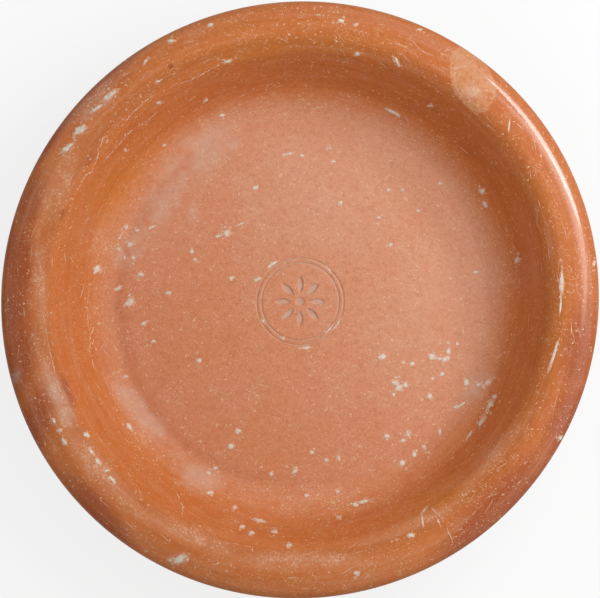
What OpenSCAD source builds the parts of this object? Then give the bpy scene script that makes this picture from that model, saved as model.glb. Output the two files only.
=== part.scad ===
// Bowl of red-gloss pottery with a lip that curves over and down, and a turned foot ring.
// Every clay part is a revolved section, drawn in the half plane of radius and height.
// The origin is on the axis, in the plane that the foot ring rests on, with +Z up.

/* [Lip] */
// Diameter across the lip's edge, over the slip
rim_d = 190; // [170:0.5:250]
// Width of the lip, from the crest to its edge
lip_w = 10.5; // [9.5:0.1:18]
// Radius of the lip's top where it curves over from the crest
lip_r = 15; // [9:0.5:18]
// Slope of the lip's top outside that curve
lip_slope = 26; // [18:1:30]
// Thickness of the lip
lip_t = 4.8; // [4:0.1:5.6]
// Radius of the lip's edge above its widest circle
nose_r = 4; // [3:0.1:4.4]
// Radius of the hollow where the lip leaves the wall
neck_r = 3.4; // [2:0.1:5]
// Radius of the curve from the crest down into the bowl
crest_in_r = 7; // [5:0.2:8]

/* [Wall] */
// Height from the table to the crest, over the slip
height = 40; // [38:0.5:50]
// Width of the wall's inside, from the floor's corner to the crest
wall_w = 25; // [23:0.1:28]
// Thickness of the wall above the sweep
wall_t = 5.2; // [4.6:0.1:6.2]
// Angle between the wall's two faces
wall_taper = 1.5; // [0:0.5:2.5]
// Radius of the inside sweep from floor to wall
sweep_r = 15; // [12:0.5:16.5]
// Upward slope at which the sweep leaves the floor
sweep_start = 6; // [0:1:12]
// Radius of the outside curve from base to wall
belly_r = 21; // [17:0.5:24]
// Upward slope of the underside outside the foot ring
base_slope = 9; // [4:1:12]

/* [Floor] */
// Height of the corner between floor and wall above the top of the foot ring
floor_t = 6.4; // [5.5:0.1:8]
// Rise of the floor's rounded edge above the corner
step_h = 0.9; // [0.5:0.1:1.5]
// Width of the floor's rounded edge
step_w = 6.2; // [4:0.1:9]
// Rise of the floor from its rounded edge to the stamp
dome_rise = 1.4; // [0.5:0.1:2.5]

/* [Stamp] */
// Diameter of the outer ring groove round the stamp
ring_d = 28; // [25.5:0.1:32]
// Distance between the two ring grooves, centre to centre
ring_gap = 1.5; // [1.2:0.1:2.2]
// Width of a ring groove
ring_w = 1; // [0.9:0.05:1.15]
// Depth of a ring groove
ring_depth = 0.3; // [0.15:0.05:0.35]
// Number of petals in the rosette
petals = 8; // [5:1:9]
// Length of a petal's recess in the clay
petal_l = 5.6; // [4:0.1:6.6]
// Width of a petal's recess in the clay
petal_w = 2.3; // [1.4:0.1:2.6]
// Distance from the middle of the rosette to the middle of a petal
petal_at = 5.6; // [5.2:0.1:6.4]
// Diameter of the dot in the middle of the rosette
dot_d = 3; // [1.6:0.1:3.4]
// Depth of the rosette
stamp_depth = 0.5; // [0.3:0.05:1.5]

/* [Foot] */
// Diameter across the foot ring's lower edge
foot_d = 98; // [90:0.5:104]
// Height of the foot ring
foot_h = 6.6; // [5:0.1:9]
// Width of the foot ring at its lower edge
foot_w = 4.6; // [3.5:0.1:7]
// Outward lean of the foot ring's outer face
foot_flare = 1; // [0:0.1:2]
// Inward spread of the foot ring's inner face, from edge to top
foot_spread = 2.4; // [0.5:0.1:4]
// Radius of the foot ring's lower edges
foot_edge_r = 0.8; // [0.4:0.1:1.1]
// Rise of the base inside the foot ring, from its edge to the middle
kick = 1.6; // [0.5:0.1:2.5]
// Diameter of the flat in the middle of the base
kick_flat_d = 16; // [8:0.5:40]

/* [Slip] */
// Thickness of the slip coat
slip_t = 0.3; // [0.2:0.05:0.4]
// Height of the bare clay at the foot ring's lower edge
bare_h = 1.4; // [1.3:0.1:3]

/* [Hidden] */

clay_colour = "#c98f6b";
floor_slip_colour = "#cf8560";
slip_colour = "#bd6238";
turn_steps = 180;
arc_step = 5;
bend_steps = 10;
stamp_steps = 96;

// Clay sizes, under the slip
lip_edge = rim_d / 2 - slip_t;
crest = [rim_d / 2 - lip_w, height - slip_t];
corner = [crest.x - wall_w, foot_h + floor_t];
step_start = [corner.x - step_w, corner.y + step_h];
stamp_z = step_start.y + dome_rise;
stamp_floor_z = stamp_z - stamp_depth;
ring_out = ring_d / 2;
ring_in = ring_out - ring_gap;
dome_start = [ring_out + ring_w / 2, stamp_z];

// Wall, inside: a sweep and a round crest, joined by the straight line that touches both
sweep_c = corner + sweep_r * [-sin(sweep_start), cos(sweep_start)];
crest_c = crest - [0, crest_in_r];
to_crest = crest_c - sweep_c;
wall_slope = atan2(to_crest.y, to_crest.x) + asin((sweep_r + crest_in_r) / norm(to_crest));
in_n = [sin(wall_slope), -cos(wall_slope)];
sweep_end = sweep_c + sweep_r * in_n;

// Wall, outside: a straight face, nearer to the inside one higher up, and the belly below it
out_slope = wall_slope + wall_taper;
out_n = [sin(out_slope), -cos(out_slope)];
wall_out = sweep_end + wall_t * in_n;

// Lip: its top curves over from the crest, then runs straight to the edge, with the underside parallel
lip_n = [sin(lip_slope), cos(lip_slope)];
lip_c = crest - [0, lip_r];
lip_top = lip_c * lip_n + lip_r;
nose_x = lip_edge - nose_r;
nose_c = [nose_x, (lip_top - nose_r - nose_x * lip_n.x) / lip_n.y];
nose_low_r = (lip_t - nose_r * (1 - lip_n.x)) / (1 + lip_n.x);
nose_low_c = [lip_edge - nose_low_r, nose_c.y];

// Hollow under the lip, which touches the wall's outer face and the lip's underside
neck_c = meet(out_n, wall_out * out_n + neck_r, lip_n, lip_top - lip_t - neck_r);
neck_end = neck_c - neck_r * out_n;
rim_joint = neck_end - ((neck_end - sweep_end) * in_n) * in_n;

// Foot ring and underside
foot_r = foot_d / 2;
foot_in_r = foot_r - foot_w;
foot_out = [[foot_r - foot_flare, foot_h], [foot_r, foot_edge_r]];
foot_in = [[foot_in_r, foot_edge_r], [foot_in_r - foot_spread, foot_h]];
base_n = [sin(base_slope), -cos(base_slope)];
belly_c = meet(out_n, wall_out * out_n - belly_r, base_n, foot_out[0] * base_n - belly_r);
belly_end = belly_c + belly_r * base_n;
base_line = [foot_in[1], [kick_flat_d / 2, foot_h + kick], [0, foot_h + kick]];

// The point where the lines p * n1 = d1 and p * n2 = d2 cross
function meet(n1, d1, n2, d2) =
    let (det = n1.x * n2.y - n1.y * n2.x)
    [(d1 * n2.y - d2 * n1.y) / det, (n1.x * d2 - n2.x * d1) / det];

// The point at height z on the line through p and q
function at_height(p, q, z) = p + (q - p) * (z - p.y) / (q.y - p.y);

// Points on the arc round c from angle a0 to angle a1
function arc(c, r, a0, a1) =
    let (n = ceil(abs(a1 - a0) / arc_step))
    [for (i = [0:n]) let (a = a0 + (a1 - a0) * i / n) c + r * [cos(a), sin(a)]];

// Points on a curve that leaves p level and falls ever faster to q
function bend(p, q) =
    [for (i = [0:bend_steps]) let (u = i / bend_steps) [p.x + (q.x - p.x) * u, p.y + (q.y - p.y) * u * u]];

function part_of(line, from, to) = [for (i = [from:to]) line[i]];

function reverse(line) = [for (i = [len(line) - 1:-1:0]) line[i]];

// The line without points that repeat the one before
function clean(line) =
    [for (i = [0:len(line) - 1]) if (i == 0 || norm(line[i] - line[max(i - 1, 0)]) > 0.001) line[i]];

// Unit normal on the left of the step from p to q
function left_of(p, q) = let (d = (q - p) / norm(q - p)) [-d.y, d.x];

// The line moved to its left by t, with mitred corners
function beside(line, t) =
    let (last = len(line) - 1)
    [for (i = [0:last])
        let (n1 = left_of(line[max(i - 1, 0)], line[max(i, 1)]))
        let (n2 = left_of(line[min(i, last - 1)], line[min(i + 1, last)]))
        line[i] + t * (n1 + n2) / (1 + n1 * n2)];

function ring_groove(r) = [
    [r - ring_w / 2, stamp_z],
    [r, stamp_z - ring_depth],
    [r + ring_w / 2, stamp_z]
];

// Surface lines of the clay parts, each running on from the one before, with the clay on the right
floor_top = clean(concat(
    [[0, stamp_z]],
    ring_groove(ring_in),
    ring_groove(ring_out),
    bend(dome_start, step_start),
    bend(step_start, corner)
));
wall_in = clean(concat(
    arc(sweep_c, sweep_r, sweep_start - 90, wall_slope - 90),
    [rim_joint]
));
rim_top = clean(concat(
    [rim_joint],
    arc(crest_c, crest_in_r, wall_slope + 90, 90),
    arc(lip_c, lip_r, 90, 90 - lip_slope),
    arc(nose_c, nose_r, 90 - lip_slope, 0)
));
rim_under = clean(concat(
    arc(nose_low_c, nose_low_r, 0, -90 - lip_slope),
    arc(neck_c, neck_r, 90 - lip_slope, out_slope + 90)
));
wall_under = clean(concat(
    [neck_end],
    arc(belly_c, belly_r, out_slope - 90, base_slope - 90)
));

// The slipped faces: over the inside and the lip down to the foot ring, and inside the foot ring
inside_line = clean(concat(floor_top, wall_in, rim_top));
slip_line = clean(concat(
    inside_line,
    rim_under,
    wall_under,
    [foot_out[0], at_height(foot_out[0], foot_out[1], bare_h)]
));
slip_face = beside(slip_line, slip_t);
slip_edge = len(inside_line) - 1;
slip_last = len(slip_line) - 1;
base_slip_line = concat([at_height(foot_in[0], foot_in[1], bare_h)], base_line);

module turned(section) {
    rotate_extrude($fn = turn_steps)
        polygon(section);
}

// A pointed oval between two arcs, drawn inset from its full outline
module petal(inset) {
    side_r = (petal_l * petal_l + petal_w * petal_w) / (4 * petal_w);
    intersection() {
        translate([0, side_r - petal_w / 2]) circle(side_r - inset, $fn = stamp_steps);
        translate([0, petal_w / 2 - side_r]) circle(side_r - inset, $fn = stamp_steps);
    }
}

module rosette(inset, from_z, to_z) {
    translate([0, 0, from_z])
        linear_extrude(to_z - from_z) {
            circle(dot_d / 2 - inset, $fn = stamp_steps);
            for (i = [0:petals - 1])
                rotate(i * 360 / petals)
                    translate([petal_at, 0])
                        petal(inset);
        }
}

module floor_disc() {
    color(clay_colour)
        difference() {
            turned(concat(floor_top, [belly_end, foot_out[0]], base_line));
            rosette(0, stamp_floor_z, stamp_z + slip_t);
        }
}

module wall() {
    color(clay_colour)
        turned(concat(wall_in, wall_under));
}

module rim() {
    color(clay_colour)
        turned(clean(concat(rim_top, rim_under)));
}

module foot_ring() {
    color(clay_colour)
        turned(concat(
            [foot_out[0]],
            arc([foot_r - foot_edge_r, foot_edge_r], foot_edge_r, 0, -90),
            arc([foot_in_r + foot_edge_r, foot_edge_r], foot_edge_r, -90, -180),
            [foot_in[1]]
        ));
}

// The coat also lines the rosette's recesses
module slip_inside() {
    color(floor_slip_colour)
        difference() {
            union() {
                turned(concat(
                    part_of(slip_line, 0, slip_edge),
                    reverse(part_of(slip_face, 0, slip_edge))
                ));
                rosette(0, stamp_floor_z, stamp_z + slip_t / 2);
            }
            rosette(slip_t, stamp_floor_z + slip_t, stamp_z + 2 * slip_t);
        }
}

module slip_outside() {
    color(slip_colour)
        turned(concat(
            part_of(slip_line, slip_edge, slip_last),
            reverse(part_of(slip_face, slip_edge, slip_last))
        ));
}

module slip_base() {
    color(slip_colour)
        turned(concat(base_slip_line, reverse(beside(base_slip_line, slip_t))));
}

floor_disc();  // floor
wall();
rim();
foot_ring();
slip_inside();
slip_outside();
slip_base();
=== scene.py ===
import random
from math import asin, atan2, ceil, cos, pi, radians, sin

import bpy
import numpy as np
from bpy.props import FloatProperty, FloatVectorProperty, PointerProperty
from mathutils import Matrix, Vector, noise


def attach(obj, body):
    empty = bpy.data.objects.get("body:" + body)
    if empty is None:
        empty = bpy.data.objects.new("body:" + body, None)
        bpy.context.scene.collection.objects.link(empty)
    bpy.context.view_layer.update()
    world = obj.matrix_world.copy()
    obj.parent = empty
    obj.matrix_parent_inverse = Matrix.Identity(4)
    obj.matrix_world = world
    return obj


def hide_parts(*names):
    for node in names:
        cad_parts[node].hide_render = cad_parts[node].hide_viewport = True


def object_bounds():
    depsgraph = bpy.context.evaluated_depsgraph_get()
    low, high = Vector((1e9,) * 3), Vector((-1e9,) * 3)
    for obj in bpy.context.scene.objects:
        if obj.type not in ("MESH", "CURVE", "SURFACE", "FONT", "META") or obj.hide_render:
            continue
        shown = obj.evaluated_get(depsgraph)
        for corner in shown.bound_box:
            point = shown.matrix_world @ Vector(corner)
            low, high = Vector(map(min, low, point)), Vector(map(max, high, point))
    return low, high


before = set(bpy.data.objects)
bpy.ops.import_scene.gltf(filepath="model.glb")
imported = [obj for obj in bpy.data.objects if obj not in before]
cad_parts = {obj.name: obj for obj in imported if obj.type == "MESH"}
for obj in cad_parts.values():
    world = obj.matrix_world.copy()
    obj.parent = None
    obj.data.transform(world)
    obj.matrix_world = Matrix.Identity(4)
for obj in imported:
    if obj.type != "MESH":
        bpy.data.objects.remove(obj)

bl_info = {
    "name": "Red-gloss bowl",
    "version": (1, 0, 0),
    "blender": (4, 5, 0),
    "location": "3D View > Sidebar > Bowl",
    "description": "Builds a worn red-gloss pottery bowl around its solid model",
    "category": "Add Mesh",
}

MM = 0.001
CAD_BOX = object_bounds()
TURN_STEPS = 320
MERGE_DISTANCE = 0.0015 * MM
SMOOTH_ANGLE = radians(50)
OVAL_TURN = radians(45)
OVAL_FIT = 0.99995  # keeps the oval inside the solid model's box

# The stamp, in millimetres
PETALS = 8
STAMP_R = 9.2  # round all of its figures
STAMP_REACH = 0.6  # above and below the face that it is pressed into
RECESS = (-0.12, 0.55)  # inside a figure's outline, where its recess starts and is full
LEAST_PRESS = 0.002  # share of the full depth below which a vertex stays

# Marks on the inside and the lip are placed on a grid that is laid over the bowl from above
GRID_STEP = 0.317  # millimetres
GRID_MIDDLE = (300, 299)

# Lime crusts: column, row, length, width and direction in degrees
LIME_CRUSTS = [
    (80, 131, 14, 7, 30), (109, 96, 20, 6, 38), (96, 109, 14, 4, 35), (67, 149, 14, 5, 42),
    (145, 62, 8, 3, 60), (170, 41, 7, 4, 0), (210, 25, 6, 4, 20), (228, 61, 10, 3, 15),
    (158, 82, 5, 2, 10), (158, 102, 6, 3, 5), (204, 96, 6, 3, 35), (221, 109, 7, 4, 5),
    (162, 140, 4, 2, 20), (124, 148, 3, 3, 0), (255, 183, 6, 4, 30), (226, 229, 9, 7, 40),
    (218, 232, 7, 3, 15), (239, 220, 10, 2, 20), (190, 248, 5, 4, 0), (193, 256, 5, 4, 0),
    (123, 223, 6, 4, 60), (117, 232, 10, 2, 60), (134, 226, 5, 4, 0), (128, 240, 9, 7, 40),
    (130, 254, 5, 6, 0), (121, 254, 3, 4, 0), (116, 245, 3, 4, 0), (149, 223, 7, 3, 25),
    (94, 266, 9, 6, 50), (138, 271, 7, 5, -10), (127, 299, 12, 8, 50), (115, 285, 9, 4, 30),
    (166, 290, 6, 4, 0), (141, 321, 7, 4, 30), (231, 275, 6, 4, 20), (257, 276, 7, 4, 25),
    (288, 148, 14, 3, 10), (302, 150, 5, 3, 0), (329, 142, 5, 3, 0), (334, 156, 5, 3, 0),
    (341, 21, 6, 4, 0), (356, 25, 6, 3, 20), (338, 38, 9, 3, 60), (357, 54, 6, 4, 0),
    (420, 29, 5, 3, 0), (397, 62, 12, 3, -60), (394, 106, 16, 3, -25), (431, 103, 6, 3, 0),
    (509, 126, 14, 2, 85), (443, 178, 5, 3, 0), (485, 187, 6, 5, 40), (488, 200, 7, 3, -60),
    (390, 185, 5, 3, 0), (404, 185, 5, 3, 0), (421, 206, 5, 3, 0), (341, 198, 5, 4, 0),
    (380, 213, 5, 3, 0), (392, 241, 5, 3, 0), (479, 269, 7, 4, 0), (520, 258, 5, 7, 0),
    (594, 264, 3, 6, 0), (553, 356, 34, 3, 72), (561, 284, 24, 5, 88), (560, 305, 22, 2, 88),
    (383, 355, 8, 6, 10), (435, 355, 8, 6, -10), (448, 358, 10, 7, 15), (451, 350, 4, 9, -15),
    (442, 357, 8, 3, -5), (414, 362, 6, 4, -20), (405, 361, 5, 2, -10), (397, 381, 9, 7, -30),
    (401, 387, 9, 6, 40), (407, 384, 6, 5, 0), (395, 393, 3, 3, 0), (444, 373, 6, 4, 20),
    (435, 377, 4, 3, 0), (451, 341, 5, 3, 0), (460, 342, 3, 3, 0), (432, 395, 5, 8, 0),
    (469, 381, 6, 8, 0), (482, 383, 6, 5, 40), (491, 381, 5, 8, -30), (459, 406, 6, 5, 0),
    (465, 403, 10, 3, 35), (497, 396, 5, 4, 20), (492, 404, 16, 5, 62), (484, 421, 14, 4, 62),
    (471, 435, 12, 2, 55), (410, 433, 5, 7, 10), (405, 440, 5, 4, 0), (388, 435, 6, 4, 0),
    (404, 463, 8, 6, 40), (416, 454, 4, 7, 0), (426, 447, 4, 6, 30), (442, 431, 3, 7, 0),
    (560, 438, 5, 4, 30), (422, 521, 14, 2, -85), (424, 510, 10, 2, 50), (434, 511, 10, 1, -50),
    (438, 522, 13, 1, -65), (410, 535, 6, 4, 0), (356, 573, 6, 4, 0), (340, 562, 5, 3, 0),
    (364, 502, 12, 3, 15), (356, 505, 6, 4, 0), (339, 518, 5, 4, 0), (338, 492, 5, 4, 0),
    (312, 452, 5, 4, 0), (327, 460, 5, 4, 0), (339, 457, 5, 4, 0), (307, 496, 5, 4, 0),
    (295, 471, 7, 5, 30), (271, 474, 5, 4, 0), (259, 521, 12, 4, -15), (242, 527, 5, 4, 0),
    (251, 533, 5, 4, 0), (274, 532, 7, 4, 0), (289, 545, 6, 4, 0), (180, 559, 16, 8, 20),
    (237, 431, 6, 5, 0), (230, 446, 7, 5, 40), (214, 468, 5, 4, 0), (207, 473, 5, 4, 0),
    (209, 493, 6, 4, 0), (234, 508, 5, 4, 0), (127, 426, 10, 4, -50), (61, 431, 5, 4, 0),
    (87, 435, 5, 4, 0), (107, 471, 5, 3, 0), (197, 359, 5, 4, 0), (151, 339, 5, 3, 0),
    (123, 375, 5, 3, 0), (283, 336, 5, 3, 70), (262, 319, 6, 2, -50), (330, 327, 16, 2, 50),
    (55, 421, 6, 4, -60), (65, 442, 8, 4, -60), (92, 452, 10, 3, -50), (99, 462, 9, 4, -50),
    (113, 480, 9, 3, -45), (338, 322, 18, 2, 55), (272, 261, 12, 3, 38), (306, 346, 12, 3, 5),
    (329, 265, 10, 2, -50),
]

# Scratches that show as pale lines: width, then the places that the line runs through
SCRATCHES = [
    (1.3, (156, 110), (148, 118), (140, 123), (126, 133), (121, 140), (113, 149), (103, 161)),
    (1.6, (107, 136), (103, 139), (97, 158), (92, 171), (85, 176), (75, 195)),
    (1.0, (179, 84), (196, 77), (212, 68), (228, 60)),
    (0.9, (120, 128), (134, 112), (155, 93)),
    (1.0, (91, 325), (87, 334), (87, 350), (91, 365)),
    (0.8, (44, 315), (50, 350), (57, 380), (66, 406)),
    (0.8, (410, 38), (418, 48), (424, 52)),
    (0.8, (176, 492), (182, 506), (183, 516)),
    (0.8, (440, 515), (446, 528), (452, 541)),
    (0.8, (504, 432), (497, 446), (490, 455)),
    (0.8, (458, 60), (455, 68), (455, 78), (457, 90), (459, 96)),
    (0.6, (86, 285), (84, 305), (85, 325)),
]

# Pale, rubbed patches, with the same five numbers as a crust
RUBBED = [
    (40, 285, 80, 14, -87), (55, 390, 100, 10, -70), (98, 468, 110, 18, -48), (58, 185, 70, 26, 65),
    (90, 100, 90, 14, 45), (492, 455, 80, 14, 48), (410, 525, 90, 12, 22), (300, 560, 130, 16, 0),
    (190, 535, 100, 16, -24), (380, 150, 160, 70, -30), (440, 380, 120, 80, 60), (150, 430, 60, 30, -50),
    (230, 130, 120, 50, 20), (130, 240, 60, 100, 80), (320, 490, 160, 50, 5), (470, 270, 60, 100, 85),
    (118, 355, 100, 16, -75), (440, 250, 60, 40, 60), (472, 90, 16, 12, 0),
]
# Patches of redder slip
REDDER = [
    (68, 392, 34, 7, -70), (18, 260, 80, 36, -84), (12, 310, 80, 34, -92), (17, 360, 90, 40, -99),
    (34, 425, 90, 34, -113), (63, 214, 9, 5, 70), (90, 160, 16, 5, 55), (30, 205, 60, 22, 72),
    (568, 420, 90, 36, 66), (100, 512, 90, 22, -48), (75, 110, 70, 10, 45), (172, 67, 6, 6, 0),
    (86, 98, 190, 15, 45), (578, 350, 90, 30, 80), (499, 509, 150, 46, 45), (55, 132, 100, 12, 55),
]
# Patches of yellower slip
YELLOWER = [
    (560, 330, 110, 20, 85), (250, 50, 110, 22, 8), (120, 190, 90, 40, 55), (440, 500, 120, 26, 30),
    (545, 200, 60, 14, -60), (350, 45, 80, 16, -5),
]
# Thin grey films of lime
GREY_FILMS = [
    (233, 142, 20, 10, 80), (191, 210, 16, 10, 70), (17, 375, 14, 8, 70), (388, 436, 10, 8, 0),
    (180, 559, 20, 9, 20), (95, 110, 34, 10, 36), (480, 385, 34, 18, 40), (128, 245, 40, 22, 60),
    (195, 150, 70, 40, 45), (160, 195, 80, 30, 60), (140, 412, 100, 20, -48), (197, 478, 46, 26, -25),
    (60, 400, 60, 16, -65), (473, 92, 14, 12, 0),
]
# The mark of a fingertip that held the bowl while it was dipped
FINGER_MARKS = [(473, 81, 64, 38, -69)]


def section_points(*points):
    return np.array(points, float)


def along(angle):
    return np.array([cos(angle), sin(angle)])


def meet(n1, d1, n2, d2):
    """The point where the lines p.n1 = d1 and p.n2 = d2 cross."""
    return np.linalg.solve(np.array([n1, n2]), np.array([d1, d2]))


def arc(centre, radius, start, end):
    """Close points on an arc between two angles in degrees."""
    steps = max(2, ceil(abs(radians(end - start)) * radius / Section.GRAIN))
    turn = np.radians(np.linspace(start, end, steps + 1))
    return centre + radius * np.column_stack([np.cos(turn), np.sin(turn)])


def bend(p, q):
    """Points on a curve that leaves p level and falls ever faster to q."""
    share = np.linspace(0, 1, 80)[:, None]
    return np.hstack([p[0] + (q[0] - p[0]) * share, p[1] + (q[1] - p[1]) * share**2])


def at_height(p, q, z):
    return p + (q - p) * (z - p[1]) / (q[1] - p[1])


def lengths(line):
    """How far along the line each of its points lies."""
    return np.concatenate([[0], np.cumsum(np.linalg.norm(np.diff(line, axis=0), axis=1))])


def even(line, grain):
    """The line with its points at even distances."""
    far = lengths(line)
    at = np.linspace(0, far[-1], max(2, ceil(far[-1] / grain)) + 1)
    return np.column_stack([np.interp(at, far, line[:, 0]), np.interp(at, far, line[:, 1])])


def soften(line, reach, grain):
    """The line with its corners rounded over about the given reach."""
    line = even(line, grain)
    width = max(1, round(reach / grain))
    for _ in range(2):
        before = 2 * line[0] - line[width:0:-1]
        after = 2 * line[-1] - line[-2 : -2 - width : -1]
        padded = np.vstack([before, line, after])
        kernel = np.ones(2 * width + 1) / (2 * width + 1)
        line = np.column_stack([np.convolve(padded[:, i], kernel, "valid") for i in (0, 1)])
    return line


def beside(line, distance):
    """The line moved to its left."""
    step = np.gradient(line, axis=0)
    step /= np.linalg.norm(step, axis=1)[:, None]
    return line + distance * np.column_stack([-step[:, 1], step[:, 0]])


def spaced(line, spacing):
    """The line thinned to points whose distance is spacing(radius, height)."""
    far = lengths(line)
    kept = [0]
    while True:
        goal = far[kept[-1]] + spacing(*line[kept[-1]])
        following = int(np.searchsorted(far, goal))
        if following >= len(line) - 1:
            break
        kept.append(max(following, kept[-1] + 1))
    if len(kept) > 1 and far[-1] - far[kept[-1]] < 0.4 * spacing(*line[-1]):
        kept.pop()
    return line[kept + [len(line) - 1]]


class Section:
    """The bowl's section in millimetres, as lines of (radius, height) points."""

    GRAIN = 0.05
    CORNER = 0.7

    def __init__(self, sizes):
        def mm(name):
            return getattr(sizes, name) / MM

        self.slip = slip = mm("slip_thickness")
        rim_r = mm("diameter") / 2
        lip_edge = rim_r - slip
        crest = section_points(rim_r - mm("lip_width"), mm("height") - slip)
        foot_h = mm("foot_height")
        corner = section_points(crest[0] - mm("wall_width"), foot_h + mm("floor_thickness"))
        step = corner + (-mm("floor_edge_width"), mm("floor_edge_rise"))
        self.stamp_z = step[1] + mm("floor_rise")
        self.ring_out = mm("ring_diameter") / 2
        self.ring_in = self.ring_out - mm("ring_distance")
        self.ring_half = mm("ring_width") / 2
        self.ring_depth = mm("ring_depth")

        sweep_r, crest_r = mm("sweep_radius"), mm("crest_inner_radius")
        start = sizes.sweep_start
        sweep_c = corner + sweep_r * section_points(-sin(start), cos(start))
        crest_c = crest - (0, crest_r)
        to_crest = crest_c - sweep_c
        wall_slope = atan2(to_crest[1], to_crest[0])
        wall_slope += asin((sweep_r + crest_r) / np.linalg.norm(to_crest))
        inner = along(wall_slope - pi / 2)
        sweep_end = sweep_c + sweep_r * inner
        out_slope = wall_slope + sizes.wall_taper
        outer = along(out_slope - pi / 2)
        wall_out = sweep_end + mm("wall_thickness") * inner

        lip_r, lip_t = mm("lip_radius"), mm("lip_thickness")
        nose_r, neck_r = mm("lip_edge_radius"), mm("neck_radius")
        slope = sizes.lip_slope
        upward = section_points(sin(slope), cos(slope))
        lip_c = crest - (0, lip_r)
        lip_top = lip_c @ upward + lip_r
        nose_x = lip_edge - nose_r
        nose_c = section_points(nose_x, (lip_top - nose_r - nose_x * upward[0]) / upward[1])
        low_r = (lip_t - nose_r * (1 - upward[0])) / (1 + upward[0])
        low_c = section_points(lip_edge - low_r, nose_c[1])
        neck_c = meet(outer, wall_out @ outer + neck_r, upward, lip_top - lip_t - neck_r)
        neck_end = neck_c - neck_r * outer
        self.rim_joint = neck_end - ((neck_end - sweep_end) @ inner) * inner
        self.neck_end = neck_end

        foot_r = mm("foot_diameter") / 2
        foot_in_r = foot_r - mm("foot_width")
        edge_r, bare = mm("foot_edge_radius"), mm("bare_height")
        foot_out = section_points((foot_r - mm("foot_flare"), foot_h), (foot_r, edge_r))
        foot_in = section_points((foot_in_r, edge_r), (foot_in_r - mm("foot_spread"), foot_h))
        base = along(sizes.base_slope - pi / 2)
        belly_r = mm("belly_radius")
        belly_c = meet(outer, wall_out @ outer - belly_r, base, foot_out[0] @ base - belly_r)
        base_z = foot_h + mm("base_rise")
        wall_deg, out_deg, lip_deg, base_deg = np.degrees([wall_slope, out_slope, slope, sizes.base_slope])

        inside = np.vstack([
            [(0, self.stamp_z), (self.ring_out + self.ring_half, self.stamp_z)],
            bend((self.ring_out + self.ring_half, self.stamp_z), step),
            bend(step, corner),
            arc(sweep_c, sweep_r, np.degrees(start) - 90, wall_deg - 90),
            arc(crest_c, crest_r, wall_deg + 90, 90),
            arc(lip_c, lip_r, 90, 90 - lip_deg),
            arc(nose_c, nose_r, 90 - lip_deg, 0),
        ])
        outside = np.vstack([
            arc(low_c, low_r, 0, -90 - lip_deg),
            arc(neck_c, neck_r, 90 - lip_deg, out_deg + 90),
            arc(belly_c, belly_r, out_deg - 90, base_deg - 90),
            [foot_out[0], at_height(*foot_out, bare)],
        ])
        whole = soften(self._clean(np.vstack([inside, outside])), self.CORNER, self.GRAIN)
        widest = int(np.argmax(whole[:, 0]))
        self.inside = whole[: widest + 1]
        self.outside = whole[widest:]
        self.foot_corner = foot_out[0]
        flat_edge = (mm("base_flat_diameter") / 2, base_z)
        underside = [at_height(*foot_in, bare), foot_in[1], flat_edge, (0, base_z)]
        self.base = soften(np.array(underside), self.CORNER, self.GRAIN)
        self.base_corner = foot_in[1]
        self.corner = corner
        self.foot_edge = np.vstack([
            [at_height(*foot_out, bare)],
            arc(section_points(foot_r - edge_r, edge_r), edge_r, 0, -90),
            arc(section_points(foot_in_r + edge_r, edge_r), edge_r, -90, -180),
            [at_height(*foot_in, bare)],
        ])

    @staticmethod
    def _clean(line):
        far = np.linalg.norm(np.diff(line, axis=0), axis=1)
        return line[np.concatenate([[True], far > 1e-4])]

    def grooved(self, line):
        """The line with the two ring grooves pressed into it."""
        line = line.copy()
        for ring in (self.ring_in, self.ring_out):
            off = np.clip(np.abs(line[:, 0] - ring) / self.ring_half, 0, 1)
            line[:, 1] -= self.ring_depth * (0.5 + 0.5 * np.cos(pi * off))
        return line

    @staticmethod
    def nearest(line, point):
        return int(np.argmin(np.linalg.norm(line - point, axis=1)))


def start_fresh(piece=None):
    """Leaves edit mode and selects the piece alone, or nothing."""
    if bpy.context.mode != "OBJECT":
        bpy.ops.object.mode_set(mode="OBJECT")
    bpy.ops.object.select_all(action="DESELECT")
    if piece:
        piece.select_set(True)
        bpy.context.view_layer.objects.active = piece


def turned(name, line, closed):
    """Draws a section point by point and turns it round the bowl's axis, as on a wheel."""
    start_fresh()
    line = np.asarray(line) * MM
    bpy.ops.mesh.primitive_plane_add(size=MM, location=(line[0, 0], 0, line[0, 1]))
    piece = bpy.context.object
    piece.name = piece.data.name = name
    bpy.ops.object.transform_apply(location=True, rotation=True, scale=True)
    bpy.ops.object.mode_set(mode="EDIT")
    bpy.ops.mesh.merge(type="CENTER")
    for step in np.diff(line, axis=0):
        bpy.ops.mesh.extrude_region_move(TRANSFORM_OT_translate={"value": (step[0], 0, step[1])})
    if closed:
        bpy.ops.object.mode_set(mode="OBJECT")
        ends = [0, len(piece.data.vertices) - 1]
        for vertex in piece.data.vertices:
            vertex.select = vertex.index in ends
        bpy.ops.object.mode_set(mode="EDIT")
        bpy.ops.mesh.edge_face_add()
    bpy.ops.object.mode_set(mode="OBJECT")
    wheel = piece.modifiers.new("wheel", "SCREW")
    wheel.angle = 2 * pi
    wheel.steps = wheel.render_steps = TURN_STEPS
    wheel.use_merge_vertices = True
    wheel.merge_threshold = MERGE_DISTANCE
    bpy.ops.object.modifier_apply(modifier=wheel.name)
    bpy.ops.object.mode_set(mode="EDIT")
    bpy.ops.mesh.select_all(action="SELECT")
    bpy.ops.mesh.remove_doubles(threshold=MERGE_DISTANCE)
    bpy.ops.mesh.normals_make_consistent(inside=False)
    bpy.ops.object.mode_set(mode="OBJECT")
    return piece


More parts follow.
